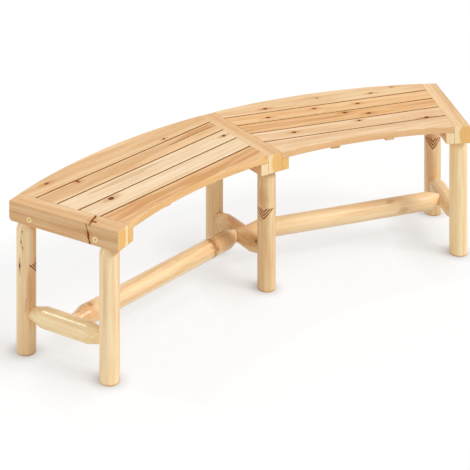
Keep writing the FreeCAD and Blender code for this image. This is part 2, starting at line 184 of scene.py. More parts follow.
# The runs move the rings by up to RUNS_SPREAD years. A dark line rises and falls within one year.
RUNS_SCALE = 60
RUNS_SPREAD = 5
RING_RISE = (0.25, 0.88)
RING_FALL = (1.0, 0.93)
FAINTEST_RING = 0.15
HEART_FADE = (5 * MILLIMETRE, -5 * MILLIMETRE)
FIBRE_DRAW = (0.02, 1, 1)
FIBRE_SCALE = 800
STREAK_DRAW = (0.7, 1, 1.4)
STREAK_SCALE = 48
STREAK_ROUGHNESS = 0.62
STREAK_FADE = (0.3, 0.7)
BLUSH_OFFSET = (3.1, 5.7, 1.3)
BLUSH_SCALE = 55
BLUSH_FADE = (0.45, 0.75)


def grain_group():
    """Growth rings round the X axis, fine fibres along it and broad streaks of tone."""
    tree, given, result = new_group(
        "grain",
        {"Point": "vector", "Ring Width": "float", "Waviness": "float", "Heart": "float",
         "Seed": "float"},
        {"Latewood": "float", "Heartwood": "float", "Fibre": "float", "Streak": "float",
         "Blush": "float"})
    drawn_out = vector_calc(tree, "MULTIPLY", given["Point"], SLOW_DRAW)
    slow = vector_calc(tree, "ADD", drawn_out, vector_of(tree, given["Seed"], given["Seed"]))

    # The log isn't a true cylinder, so its rings wander slowly along it
    wander = centred_vector(tree, noise(tree, slow, WANDER_SCALE, detail=3)["Color"])
    wander = put(tree, "ShaderNodeVectorMath", {0: wander, "Scale": given["Waviness"]},
                 operation="SCALE")[0]
    section = vector_calc(tree, "ADD", given["Point"], wander)
    from_pith = distance(tree, vector_calc(tree, "MULTIPLY", section, ACROSS_GRAIN))

    # Wide and narrow years come in runs, and each ends in a thin dark line
    runs = noise(tree, vector_of(tree, from_pith, given["Seed"]), RUNS_SCALE)["Fac"]
    years = calc(tree, "DIVIDE", from_pith, given["Ring Width"])
    years = calc(tree, "MULTIPLY_ADD", runs, RUNS_SPREAD, years)
    share = calc(tree, "FRACT", years)
    rise = smooth_step(tree, share, *RING_RISE)
    fall = smooth_step(tree, share, *RING_FALL)
    number = calc(tree, "ADD", calc(tree, "FLOOR", years), given["Seed"])
    season = put(tree, "ShaderNodeTexWhiteNoise", {"W": number}, noise_dimensions="1D")["Value"]
    ring = product(tree, rise, fall, remap(tree, season, FAINTEST_RING, 1))
    tree.links.new(ring, result["Latewood"])

    edge = calc(tree, "SUBTRACT", from_pith, given["Heart"])
    tree.links.new(smooth_step(tree, edge, *HEART_FADE), result["Heartwood"])

    fine = vector_calc(tree, "MULTIPLY", given["Point"], FIBRE_DRAW)
    tree.links.new(noise(tree, fine, FIBRE_SCALE, detail=3)["Fac"], result["Fibre"])

    streak = vector_calc(tree, "MULTIPLY", slow, STREAK_DRAW)
    streak = noise(tree, streak, STREAK_SCALE, detail=4, roughness=STREAK_ROUGHNESS)["Fac"]
    tree.links.new(smooth_step(tree, streak, *STREAK_FADE), result["Streak"])
    blush = noise(tree, vector_calc(tree, "ADD", slow, BLUSH_OFFSET), BLUSH_SCALE)["Fac"]
    tree.links.new(smooth_step(tree, blush, *BLUSH_FADE), result["Blush"])
    return tree


MARK_INPUTS = {"Point": "vector", "Place": "vector", "Turn": "vector", "Radii": "vector",
               "Amount": "float"}
MARK_OUTPUTS = {"Point": "vector", "Core": "float", "Rim": "float", "Halo": "float"}


def mark_group(name):
    """A group for one mark in the wood, and the point in the mark's own space.

    There its radii are 1. Its outputs are shares of the dark core, its rim and the tinted halo.
    """
    tree, given, result = new_group(name, MARK_INPUTS, MARK_OUTPUTS)
    inside = moved(tree, given["Point"], given["Place"], given["Turn"], given["Radii"], "TEXTURE")
    tree.links.new(given["Point"], result["Point"])
    return tree, given, result, inside


def show(tree, given, result, **shares):
    """Sends a mark's shares out of its group, times the mark's amount."""
    for name, share in shares.items():
        tree.links.new(product(tree, share, given["Amount"]), result[name])


# A knot, in steps of its radii. Its rim is a dark ring, with a dark dot at the knot's heart.
KNOT_NOISE_SCALE = 1.8
KNOT_RAGGEDNESS = 0.7
KNOT_DEPTH_FADE = (1.1, 0.9)
KNOT_CORE_FADE = (1.05, 0.6)
KNOT_RIM = 0.75
KNOT_RIM_FADE = (0.22, 0.0)
KNOT_HEART_FADE = (0.3, 0.0)
KNOT_HALO_DRAW = (0.45, 1, 0)
KNOT_HALO_RAGGEDNESS = 0.8
KNOT_HALO_FADE = (2.6, 0.9)
KNOT_BEND_DRAW = (0.4, 0.55, 0)
KNOT_BEND_FADE = (1.9, 0.1)
KNOT_BEND = 0.8


def knot_group():
    """A branch along the mark's Z axis, through the wood. It bends the grain round itself."""
    tree, given, result, inside = mark_group("knot")
    x, y, z = parts_of(tree, inside)
    depth = smooth_step(tree, calc(tree, "ABSOLUTE", z), *KNOT_DEPTH_FADE)
    ragged = noise(tree, inside, KNOT_NOISE_SCALE, detail=3)["Fac"]
    reach = calc(tree, "SUBTRACT", distance(tree, vector_of(tree, x, y)), KNOT_RAGGEDNESS / 2)
    reach = calc(tree, "MULTIPLY_ADD", ragged, KNOT_RAGGEDNESS, reach)
    core = smooth_step(tree, reach, *KNOT_CORE_FADE)
    rim = smooth_step(tree, calc(tree, "ABSOLUTE", calc(tree, "SUBTRACT", reach, KNOT_RIM)),
                      *KNOT_RIM_FADE)
    rim = calc(tree, "MAXIMUM", rim, smooth_step(tree, reach, *KNOT_HEART_FADE))

    # The tinted wood round a knot is drawn out along the grain
    tail = distance(tree, vector_calc(tree, "MULTIPLY", inside, KNOT_HALO_DRAW))
    halo = smooth_step(tree, calc(tree, "MULTIPLY_ADD", ragged, KNOT_HALO_RAGGEDNESS, tail),
                       *KNOT_HALO_FADE)
    show(tree, given, result, Core=product(tree, core, depth), Rim=product(tree, rim, depth),
         Halo=product(tree, halo, depth))

    # Grain that met the branch runs round it, and far along the grain it is straight again
    away = distance(tree, vector_calc(tree, "MULTIPLY", inside, KNOT_BEND_DRAW))
    bend = product(tree, smooth_step(tree, away, *KNOT_BEND_FADE), depth)
    keep = calc(tree, "MULTIPLY_ADD", bend, -KNOT_BEND, 1.0)
    bent = vector_of(tree, x, product(tree, y, keep), z)
    outside = moved(tree, bent, given["Place"], given["Turn"], given["Radii"], "POINT")
    tree.links.new(outside, result["Point"])
    return tree


# The V marks. The first two sizes are in millimetres, and the rest is in steps from stroke to
# stroke. The span fade is up and down from the middle stroke, and the top fade ends the limbs.
LOG_RADIUS = 29.5
CHEVRON_STEP = 10
CHEVRON_NOISE_SCALE = 1.4
CHEVRON_RAGGEDNESS = (0.25, 0.25, 0)
CHEVRON_STROKE_FADE = (0.26, 0.17)
CHEVRON_SPAN_FADE = (1.45, 1.35)
CHEVRON_TOP_FADE = (2.2, 2.0)
CHEVRON_WEAR_SCALE = 0.8
CHEVRON_WEAR_FADE = (0.2, 0.45)
CHEVRON_RIM = 0.35
CHEVRON_HALO = 0.6


def chevron_group():
    """Nested V strokes that open up X, where the knife peeled through the rings of a log.

    One step of X is the way from stroke to stroke. Y and Z are in steps of CHEVRON_STEP
    millimetres, and so is the log's radius.
    """
    tree, given, result, inside = mark_group("chevron")
    ragged = centred_vector(tree, noise(tree, inside, CHEVRON_NOISE_SCALE, detail=3)["Color"])
    ragged = vector_calc(tree, "MULTIPLY", ragged, CHEVRON_RAGGEDNESS)
    x, y, z = parts_of(tree, vector_calc(tree, "ADD", inside, ragged))
    log_radius = LOG_RADIUS / CHEVRON_STEP
    round_log = calc(tree, "ARCTAN2", y, calc(tree, "ADD", z, log_radius))
    rise = calc(tree, "SUBTRACT", x, product(tree, calc(tree, "ABSOLUTE", round_log), log_radius))

    # There is a stroke at each whole step, and half a step more has a fraction of 0.5 there
    between = calc(tree, "FRACT", calc(tree, "ADD", rise, 0.5))
    stroke = smooth_step(tree, calc(tree, "ABSOLUTE", centred(tree, between)), *CHEVRON_STROKE_FADE)
    span = smooth_step(tree, calc(tree, "ABSOLUTE", rise), *CHEVRON_SPAN_FADE)
    window = product(tree, span, smooth_step(tree, x, *CHEVRON_TOP_FADE))
    worn = smooth_step(tree, noise(tree, inside, CHEVRON_WEAR_SCALE)["Fac"], *CHEVRON_WEAR_FADE)
    stroke = product(tree, window, worn, stroke)
    show(tree, given, result, Core=stroke, Rim=product(tree, stroke, CHEVRON_RIM),
         Halo=product(tree, window, CHEVRON_HALO))
    return tree


# A crack, in steps of half its width across it, and in steps of its radii along it
CRACK_WANDER_SCALE = 75
CRACK_WANDER = 5
CRACK_END_FADE = (1.0, 0.7)
CRACK_WIDTH_SCALE = 130
CRACK_WIDTHS = (0.3, 2.0)
CRACK_CORE_FADE = (1.2, 0.5)
CRACK_RIM = 0.6
CRACK_HALO_FADE = (4.0, 0.5)


def crack_group():
    """A ragged crack in the mark's YZ plane, whose X radius is half the crack's width.

    It wanders and changes its width with the place in the wood.
    """
    tree, given, result, inside = mark_group("crack")
    x, y, z = parts_of(tree, inside)
    ragged = centred(tree, noise(tree, given["Point"], CRACK_WANDER_SCALE, detail=3)["Fac"])
    away = calc(tree, "ABSOLUTE", calc(tree, "MULTIPLY_ADD", ragged, CRACK_WANDER, x))
    end = calc(tree, "MAXIMUM", calc(tree, "ABSOLUTE", y), calc(tree, "ABSOLUTE", z))
    open_share = smooth_step(tree, end, *CRACK_END_FADE)
    width = remap(tree, noise(tree, given["Point"], CRACK_WIDTH_SCALE)["Fac"], *CRACK_WIDTHS)
    core = smooth_step(tree, calc(tree, "DIVIDE", away, width), *CRACK_CORE_FADE)
    core = product(tree, core, open_share)
    halo = product(tree, smooth_step(tree, away, *CRACK_HALO_FADE), open_share)
    show(tree, given, result, Core=core, Rim=product(tree, core, CRACK_RIM), Halo=halo)
    return tree


STAIN_NOISE_SCALE = 1.3
STAIN_UNEVENNESS = 1.4
STAIN_FADE = (1.0, 0.35)


def stain_group():
    """A soft patch of darker wood with an uneven edge."""
    tree, given, result, inside = mark_group("stain")
    uneven = centred(tree, noise(tree, inside, STAIN_NOISE_SCALE, detail=4)["Fac"])
    reach = calc(tree, "MULTIPLY_ADD", uneven, STAIN_UNEVENNESS, distance(tree, inside))
    show(tree, given, result, Halo=smooth_step(tree, reach, *STAIN_FADE))
    return tree


GRAIN = grain_group()
KNOT = knot_group()
CHEVRON = chevron_group()
CRACK = crack_group()
STAIN = stain_group()

# Tones of the wood: its sapwood, its heartwood and the dark line at each year's end
TONES = {
    "cream": (colour(250, 226, 192), colour(232, 201, 160), colour(206, 163, 115)),
    "straw": (colour(250, 220, 178), colour(229, 188, 140), colour(196, 147, 96)),
    "rose": (colour(250, 222, 184), colour(230, 187, 142), colour(196, 144, 98)),
    "honey": (colour(244, 210, 166), colour(224, 180, 131), colour(186, 133, 84)),
    "gold": (colour(248, 210, 160), colour(230, 178, 122), colour(192, 132, 78)),
    "amber": (colour(242, 202, 152), colour(218, 164, 110), colour(176, 118, 66)),
    "pale log": (colour(255, 236, 190), colour(249, 213, 154), colour(220, 172, 108)),
    "log": (colour(254, 230, 186), colour(242, 202, 148), colour(212, 162, 106)),
    "brown log": (colour(248, 221, 174), colour(226, 184, 130), colour(184, 132, 78)),
}
BLUSH_TINT = (1.0, 0.93, 0.89, 1.0)

# How deep the tone is, from 0 for sapwood to 1 for heartwood, and what heartwood and fibres add
PLAIN_DEPTH = 0.3
HEARTWOOD_DEPTH = 0.4
FIBRE_DEPTH = 1.6

# The colours of sawn ends and of boards' sides, and how squarely a surface faces that way where
# each one starts and is whole. On the slats, the walls of the gaps get painted shade, and the
# seat's front edges get a sawn edge's own colour.
END_SAPWOOD = colour(255, 232, 186)
END_HEARTWOOD = colour(243, 196, 126)
END_LATEWOOD = colour(208, 148, 80)
END_CONTRAST = 0.55
END_FACING = (0.85, 0.97)
SIDE_FACING = (0.7, 0.95)
GAP_WALL_SHADE = (colour(158, 100, 44), 1.0)
SAWN_EDGES = {"left_front_slat": (colour(246, 202, 140), 0.6),
              "right_front_slat": (colour(230, 180, 122), 0.6)}

# The colours of marks and how much each one covers, in the order that they are laid on
MARK_COLOURS = {"Halo": (colour(200, 132, 62), 0.6), "Core": (colour(120, 44, 0), 0.95),
                "Rim": (colour(78, 22, 0), 0.8)}

# The surface's height: latewood stands up with the fibres, and marks are sunk
LATEWOOD_HEIGHT = 0.5
MARK_HEIGHT = -2.0
WOOD_BUMP = 0.3
WOOD_BUMP_DEPTH = 0.25


def grain_space(azimuth, grain, origin=TREE_MIDDLE):
    """(place, turn) of a piece's own space, whose X runs along its grain.

    radial: X away from the tree, Y to the -X side, Z up
    across: X along the section, Y away from the tree, Z up
    upright: X up, Y along the bench, Z away from the tree
    """
    angle = math.radians(azimuth)
    away = Vector((math.sin(angle), math.cos(angle), 0))
    sideways = Vector((math.cos(angle), -math.sin(angle), 0))
    up = Vector((0, 0, 1))
    axes = {"radial": (away, -sideways, up),
            "across": (sideways, away, up),
            "upright": (up, sideways, away)}[grain]
    return origin, Matrix(axes).transposed().to_euler()


def mark(group, place, radii, turn=(0, 0, 0), amount=1.0):
    """A mark's group and its inputs.

    Lengths are in millimetres and turns in degrees, in the piece's own space.
    """
    return group, {"Place": Vector(place) * MILLIMETRE,
                   "Radii": Vector(radii) * MILLIMETRE,
                   "Turn": [math.radians(angle) for angle in turn],
                   "Amount": amount}


def facing(tree, space_turn, axis):
    """How far a surface faces along an axis of a piece's own space, from -1 to 1."""
    normal = put(tree, "ShaderNodeNewGeometry")["Normal"]
    direction = Euler(space_turn).to_matrix() @ Vector(axis)
    return put(tree, "ShaderNodeVectorMath", {0: normal, 1: direction},
               operation="DOT_PRODUCT")["Value"]


def wood(name, space, tone, pith, ring_width=4.0, heart=70.0, contrast=0.55, waviness=12.0,
         tilt=0.0, seed=0.0, streaks=0.8, gloss=0.06, roughness=(0.42, 0.58), marks=(), sides=()):
    """A softwood for one piece, with lengths in millimetres.

    pith is where the log's middle lies in the piece's section, and heart is the heartwood's radius
    round it. contrast is the strength of the dark lines, and waviness is how far the rings wander.
    tilt in degrees is how far the grain runs out of the piece. streaks is how much of the tone goes
    by broad streaks, and gloss is the specular level. sides are (direction, colour, share) for the
    piece's long sides, where the direction is 1 or -1 along its Y axis.
    """
    material = bpy.data.materials.new(name)
    tree = empty_tree(material)
    place, turn = space
    sapwood, heartwood, latewood = TONES[tone]
    coordinates = put(tree, "ShaderNodeTexCoord")["Object"]
    point = moved(tree, coordinates, place, turn, SAME_SIZE, "TEXTURE")

    shares = dict.fromkeys(MARK_COLOURS, 0.0)
    for group, inputs in marks:
        found = use_group(tree, group, {"Point": point, **inputs})
        point = found["Point"]
        for share in shares:
            shares[share] = calc(tree, "MAXIMUM", shares[share], found[share])

    log_place = Vector((0, *pith)) * MILLIMETRE
    log_point = moved(tree, point, log_place, (0, 0, math.radians(tilt)), SAME_SIZE, "TEXTURE")
    grain = use_group(tree, GRAIN, {"Point": log_point, "Ring Width": ring_width * MILLIMETRE,
                                    "Waviness": waviness * MILLIMETRE,
                                    "Heart": heart * MILLIMETRE, "Seed": seed})

    # The tone goes from sapwood to heartwood in streaks, with thin dark lines and finer fibres
    depth = calc(tree, "MULTIPLY_ADD", centred(tree, grain["Streak"]), streaks, PLAIN_DEPTH)
    depth = calc(tree, "MULTIPLY_ADD", grain["Heartwood"], HEARTWOOD_DEPTH, depth)
    depth = calc(tree, "MULTIPLY_ADD", centred(tree, grain["Fibre"]), FIBRE_DEPTH, depth)
    depth = put(tree, "ShaderNodeClamp", {"Value": depth})[0]
    surface = mixed(tree, depth, sapwood, heartwood)
    surface = mixed(tree, grain["Blush"], surface, BLUSH_TINT, "MULTIPLY")
    surface = mixed(tree, product(tree, grain["Latewood"], contrast), surface, latewood)

    # Painted shade on the slats' gap walls, and a sawn edge's own colour on the seat's front edges
    for direction, side_colour, share in sides:
        side = smooth_step(tree, facing(tree, turn, (0, direction, 0)), *SIDE_FACING)
        surface = mixed(tree, product(tree, side, share), surface, side_colour)

    # End grain takes up more of the finish, so it is deeper and more yellow
    end = calc(tree, "ABSOLUTE", facing(tree, turn, (1, 0, 0)))
    end_colour = mixed(tree, grain["Heartwood"], END_SAPWOOD, END_HEARTWOOD)
    end_line = product(tree, grain["Latewood"], END_CONTRAST)
    end_colour = mixed(tree, end_line, end_colour, END_LATEWOOD)
    surface = mixed(tree, smooth_step(tree, end, *END_FACING), surface, end_colour)

    if marks:
        for share, (mark_colour, cover) in MARK_COLOURS.items():
            surface = mixed(tree, product(tree, shares[share], cover), surface, mark_colour)

    height = calc(tree, "MULTIPLY_ADD", grain["Latewood"], LATEWOOD_HEIGHT, grain["Fibre"])
    height = calc(tree, "MULTIPLY_ADD", shares["Core"], MARK_HEIGHT, height)
    shader = put(tree, "ShaderNodeBsdfPrincipled",
                 {"Base Color": surface, "Roughness": remap(tree, grain["Fibre"], *roughness),
                  "Specular IOR Level": gloss,
                  "Normal": bumped(tree, height, WOOD_BUMP, WOOD_BUMP_DEPTH)})[0]
    put(tree, "ShaderNodeOutputMaterial", {"Surface": shader})
    return material


def dress(node, material):
    """Gives a node's mesh this material."""
    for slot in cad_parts[node].material_slots:
        slot.material = material


# The seeds of a kind's pieces: the first one's, and the step from each piece to the next
SEEDS = {"slat": (0, 3.7), "beam": (40, 2.3), "inner_leg": (60, 5.1), "outer_leg": (61, 5.1),
         "cross_stretcher": (80, 3.1), "long_stretcher": (90, 3.3), "batten": (100, 1),
         "cleat": (110, 1)}
PLUG_SEED = 130


def seed_of(kind, number):
    first, step = SEEDS[kind]
    return first + number * step


# Seat slats: what each one's wood is and where its marks are, in millimetres along the section from
# its middle and away from the tree's middle

SLAT_TOP = 445
SLAT_KNOT_DEPTH = 60


def slat_knot(along, away, length=9, width=6.5, amount=1.0):
    """A knot that shows on a slat's top, with its radii along and across the slat."""
    return mark(KNOT, (along, away, SLAT_TOP), (length, width, SLAT_KNOT_DEPTH), amount=amount)


# A dark line of resin along the grain, and the reddish wood beside it
RESIN_LINE = mark(CRACK, (262, 1709.5, SLAT_TOP), (1.3, 120, 20), (0, 0, 90), 0.9)
RESIN_STAIN = mark(STAIN, (300, 1722, SLAT_TOP), (120, 14, 20))

SLATS = {
    "left_front_slat": dict(tone="amber", pith=(1500, 372), ring_width=6, heart=84, tilt=0.8,
                            streaks=1.6),
    "left_seat_slat_1": dict(tone="cream", pith=(1590, 360), ring_width=4.5, heart=84, tilt=0.5,
                             marks=[slat_knot(-236, 1576, 12, 9)]),
    "left_seat_slat_2": dict(tone="cream", pith=(1640, 350), ring_width=4, heart=96, tilt=-0.4,
                             marks=[slat_knot(334, 1631, 9, 6.5)]),
    "left_seat_slat_3": dict(tone="honey", pith=(1708, 380), ring_width=5, heart=69, tilt=0.5,
                             marks=[slat_knot(-229, 1729, 6, 11, 0.8), RESIN_LINE, RESIN_STAIN]),
    "left_back_slat": dict(tone="honey", pith=(1795, 375), ring_width=5.5, heart=76, tilt=-1.0,
                           marks=[slat_knot(-305, 1786, 10, 6, 0.8), slat_knot(179, 1755, 6, 5)]),
    "right_front_slat": dict(tone="rose", pith=(1500, 372), ring_width=5, heart=76, tilt=0.7),
    "right_seat_slat_1": dict(tone="rose", pith=(1545, 365), ring_width=4.5, heart=82, tilt=-0.8,
                              marks=[slat_knot(-212, 1556), slat_knot(37, 1574, 7, 6),
                                     slat_knot(266, 1526, 11, 5)]),
    "right_seat_slat_2": dict(tone="gold", pith=(1632, 372), ring_width=5.5, heart=82, tilt=0.8,
                              marks=[slat_knot(22, 1649, 11, 6), slat_knot(97, 1619, 11, 6.5)]),
    "right_seat_slat_3": dict(tone="gold", pith=(1715, 378), ring_width=4.5, heart=66, tilt=-0.5,
                              marks=[slat_knot(-63, 1715, 8, 6), slat_knot(-244, 1694, 10, 6),
                                     slat_knot(100, 1707, 9, 6)]),
    "right_back_slat": dict(tone="straw", pith=(1780, 370), ring_width=5, heart=80, tilt=0.9,
                            marks=[slat_knot(-224, 1767, 10, 6.5), slat_knot(-13, 1796, 6, 5, 0.7),
                                   slat_knot(187, 1776, 10, 6, 0.8),
                                   slat_knot(285, 1802, 7, 5, 0.6)]),
}


def dress_slats():
    """Every long side that lines a gap gets painted shade, apart from the seat's own front and back
    edges.
    """
    for number, (node, looks) in enumerate(SLATS.items()):
        space = grain_space(SECTION_AZIMUTHS[node.split("_")[0]], "across")
        sides = [(-1, *SAWN_EDGES.get(node, GAP_WALL_SHADE))]
        if "back" not in node:
            sides.append((1, *GAP_WALL_SHADE))
        dress(node, wood(node + "_wood", space, seed=seed_of("slat", number), sides=sides, **looks))


# A crack goes down the left beam's outer side, and over its top with a short branch. Places are
# away from the tree's middle, to the beam's -X side and up.
BEAM_CRACKS = [
    mark(CRACK, (1563.5, 27.5, 421), (1.3, 5, 27), (0, 14, 0), 0.8),
    mark(CRACK, (1558, 27.5, 402), (2.4, 5, 17), (0, 10, 0)),
    mark(KNOT, (1562, 27.5, 418), (4, 5, 10), (90, 0, 0), 0.8),
    mark(CRACK, (1561, 2, 445), (2.6, 31, 5), (0, 0, 12)),
    mark(CRACK, (1551, 10, 445), (2.4, 9, 5), (0, 0, 84)),
    mark(KNOT, (1561, 8, 445), (4, 10, 8), (0, 0, 12), 0.8),
]
BEAMS = {
    "left_end_beam": dict(tone="honey", pith=(42, 415), heart=57, marks=BEAM_CRACKS),
    "middle_beam": dict(tone="honey", pith=(-45, 415), heart=57, streaks=0.6),
    "right_end_beam": dict(tone="straw", pith=(-45, 415), heart=57, streaks=0.6),
}


def dress_beams():
    for number, (node, looks) in enumerate(BEAMS.items()):
        space = grain_space(FRAME_AZIMUTHS[node.split("_")[0]], "radial")
        dress(node, wood(node + "_wood", space, seed=seed_of("beam", number), **looks))


# Logs: a mark's place is its way along the log and its bearing, the turn in degrees about the log's
# X axis from its Z axis. A leg's way starts at the floor, and a stretcher's at its own middle.

def log_mark(group, along, bearing, radii, amount=1.0, turn=0.0):
    """A mark on a log's skin. turn is in degrees about the way out of the log."""
    angle = math.radians(bearing)
    place = (along, -LOG_RADIUS * math.sin(angle), LOG_RADIUS * math.cos(angle))
    rotation = Matrix.Rotation(angle, 3, "X") @ Matrix.Rotation(math.radians(turn), 3, "Z")
    angles = [math.degrees(value) for value in rotation.to_euler()]
    return mark(group, place, radii, angles, amount)


def chevron(along, bearing, step, amount):
    """step is the way from stroke to stroke along the log, and the tip is the middle stroke's."""
    return log_mark(CHEVRON, along, bearing, (step, CHEVRON_STEP, CHEVRON_STEP), amount)


LOG_MARKS = {
    "left_outer_leg": [log_mark(KNOT, 365, 100, (4, 1.8, 20), 0.9),
                       log_mark(KNOT, 335, 94, (5, 1.8, 20), 0.9),
                       log_mark(KNOT, 318, 104, (4, 1.6, 20), 0.8),
                       log_mark(KNOT, 264, 84, (9, 3.2, 20)),
                       chevron(247, 204, 9.5, 1.0),
                       log_mark(STAIN, 262, 205, (32, 22, 24)),
                       log_mark(STAIN, 170, 145, (120, 16, 24), 0.7),
                       log_mark(CRACK, 150, 122, (0.7, 24, 30), 0.35, 86)],
    "middle_inner_leg": [chevron(245, 124, 10.5, 1.0),
                         log_mark(STAIN, 300, 118, (50, 22, 30), 0.7),
                         log_mark(STAIN, 238, 100, (20, 24, 24), 0.6)],
    "right_outer_leg": [chevron(252, 165, 12.5, 1.0),
                        log_mark(STAIN, 272, 160, (34, 34, 34), 0.9)],
    "left_long_stretcher": [log_mark(KNOT, -300, 10, (7, 9, 20), 0.35),
                            log_mark(STAIN, -318, 20, (48, 34, 40), 0.8),
                            log_mark(KNOT, -344, 2, (6, 5, 20), 0.3),
                            # A painted shadow: the dark ring and the darker wood beyond it, where
                            # the middle frame shades the log
                            log_mark(CRACK, 233, 30, (7, 60, 60), 0.38),
                            log_mark(STAIN, 242, 20, (18, 60, 70)),
                            log_mark(STAIN, 290, 20, (64, 60, 70), 0.6)],
    "right_long_stretcher": [log_mark(KNOT, 206, 100, (8, 5, 20), 0.1),
                             log_mark(STAIN, 206, 100, (30, 14, 20), 0.6),
                             log_mark(STAIN, 163, 30, (24, 12, 20), 0.7)],
    "middle_cross_stretcher": [log_mark(KNOT, -107, 324, (6, 5, 20), 0.5),
                               log_mark(STAIN, -80, 324, (60, 26, 34), 0.6),
                               log_mark(STAIN, 9, 14, (70, 40, 40))],
}
# Each leg is a little darker in its lowest few millimetres, by the floor
FOOT_DARKENING = mark(STAIN, (0, 0, 0), (9, 70, 70))

# The left cross stretcher's pale tone is partly its own paler wood and partly painted light, since
# the seat shades its upper side from the key lamp
LOG_TONES = {"middle_inner_leg": "brown log", "right_outer_leg": "brown log",
             "middle_cross_stretcher": "brown log",
             "left_cross_stretcher": "pale log", "right_inner_leg": "pale log"}
LOG_GRAIN = dict(pith=(5, -4), ring_width=3.4, heart=26, contrast=0.3, waviness=10, streaks=0.9)
LOG_FINISH = dict(gloss=0.25, roughness=(0.2, 0.34))
# Two of the logs are smoother and catch a brighter line of light
SMOOTH_LOGS = ("left_cross_stretcher", "left_long_stretcher")
SMOOTH_FINISH = dict(gloss=0.4, roughness=(0.15, 0.27))


def dress_log(side, kind, azimuth, grain, number):
    """A leg or a stretcher. Its own space has its origin in the middle of the log or its foot."""
    node = side + "_" + kind
    low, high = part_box(node)
    middle = (low + high) / 2
    marks = list(LOG_MARKS.get(node, ()))
    if grain == "upright":
        middle.z = 0
        marks.append(FOOT_DARKENING)
    space = grain_space(azimuth, grain, middle)
    finish = SMOOTH_FINISH if node in SMOOTH_LOGS else LOG_FINISH
    dress(node, wood(node + "_wood", space, LOG_TONES.get(node, "log"), marks=marks,
                     seed=seed_of(kind, number), **LOG_GRAIN, **finish))


def dress_logs():
    for number, (side, azimuth) in enumerate(FRAME_AZIMUTHS.items()):
        dress_log(side, "inner_leg", azimuth, "upright", number)
        dress_log(side, "outer_leg", azimuth, "upright", number)
        dress_log(side, "cross_stretcher", azimuth, "radial", number)
    for number, (side, azimuth) in enumerate(SECTION_AZIMUTHS.items()):
        dress_log(side, "long_stretcher", azimuth, "across", number)


# The rails under the slats
RAIL_WOODS = {"batten": dict(tone="honey", pith=(60, 400), ring_width=3.5),
              "cleat": dict(tone="amber", pith=(-50, 380), ring_width=4)}


def dress_rails():
    """A batten lies along its section's own azimuth, and a cleat along its beam's."""
    for number, (section, azimuth) in enumerate(SECTION_AZIMUTHS.items()):
        beam_azimuths = {"inner": FRAME_AZIMUTHS["middle"], "outer": FRAME_AZIMUTHS[section]}
        for place, beam_azimuth in beam_azimuths.items():
            for kind, rail_azimuth in (("batten", azimuth), ("cleat", beam_azimuth)):
                node = "_".join((section, place, kind))
                dress(node, wood(node + "_wood", grain_space(rail_azimuth, "radial"),
                                 seed=seed_of(kind, number), **RAIL_WOODS[kind]))


# Steel, with fine turning marks and duller patches
TURNING_SCALE = 2400
PATCH_SCALE = 160
STEEL_ROUGHNESS = (0.28, 0.45)
STEEL_BUMP = 0.2
STEEL_BUMP_DEPTH = 0.05


def steel(name, dark, bright):
    """Plated steel between two colours."""
    material = bpy.data.materials.new(name)
    tree = empty_tree(material)
    coordinates = put(tree, "ShaderNodeTexCoord")["Object"]
    turning = noise(tree, coordinates, TURNING_SCALE, detail=3)["Fac"]
    patches = noise(tree, coordinates, PATCH_SCALE)["Fac"]
    shader = put(tree, "ShaderNodeBsdfPrincipled",
                 {"Base Color": mixed(tree, patches, dark, bright), "Metallic": 1.0,
                  "Roughness": remap(tree, turning, *STEEL_ROUGHNESS),
                  "Normal": bumped(tree, turning, STEEL_BUMP, STEEL_BUMP_DEPTH)})[0]
    put(tree, "ShaderNodeOutputMaterial", {"Surface": shader})
    return material


# The plugs: a dark dish that fades out this far from each one's middle, in a pale rim
DISH_FADE = (3.4 * MILLIMETRE, 1.8 * MILLIMETRE)
DISH_COLOUR = colour(198, 132, 70)
RIM_COLOUR = colour(255, 226, 158)
RIM_SHARE = 0.7


def plug_middles():
    """The middles of the plugs' faces."""
    for azimuth in (FRAME_AZIMUTHS["left"], FRAME_AZIMUTHS["right"]):
        angle = math.radians(azimuth)
        side = math.copysign(PLUG_FROM_MIDDLE, azimuth)
        for radius in BOLT_RADII:
            yield TREE_MIDDLE + Vector((math.sin(angle) * radius + math.cos(angle) * side,
                                        math.cos(angle) * radius - math.sin(angle) * side,
                                        PLUG_HEIGHT))


def plug_wood():
    """Turned pale wood, with a bright rim and a darker dish at each plug's middle."""
    material = wood("bolt_plugs_wood", grain_space(0, "radial"), "cream", pith=(0, 400),
                    ring_width=2.5, contrast=0.2, seed=PLUG_SEED)
    tree = material.node_tree
    coordinates = put(tree, "ShaderNodeTexCoord")["Object"]
    nearest, *others = [distance(tree, vector_calc(tree, "SUBTRACT", coordinates, tuple(middle)))
                        for middle in plug_middles()]
    for away in others:
        nearest = calc(tree, "MINIMUM", nearest, away)
    dish = smooth_step(tree, nearest, *DISH_FADE)
    base = tree.nodes["Principled BSDF"].inputs["Base Color"]
    rim = mixed(tree, RIM_SHARE, base.links[0].from_socket, RIM_COLOUR)
    tree.links.new(mixed(tree, dish, rim, DISH_COLOUR), base)
    return material


def dress_fasteners():
    zinc = steel("zinc_plated_steel", colour(176, 176, 172), colour(214, 213, 208))
    for node in ("panel_bolts", "bolt_washers", "bolt_nuts", "cleat_screws", "batten_screws"):
        dress(node, zinc)
    dress("tenon_screws", steel("brown_coated_steel", colour(70, 44, 28), colour(104, 70, 46)))
    dress("bolt_plugs", plug_wood())


# Floor, light and camera

def seen_directly(tree):
    """1 for rays from the camera, by gloss or through glass, and 0 for the light they gather."""
    rays = put(tree, "ShaderNodeLightPath")
    share = calc(tree, "MAXIMUM", rays["Is Camera Ray"], rays["Is Glossy Ray"])
    return calc(tree, "MAXIMUM", share, rays["Is Transmission Ray"])


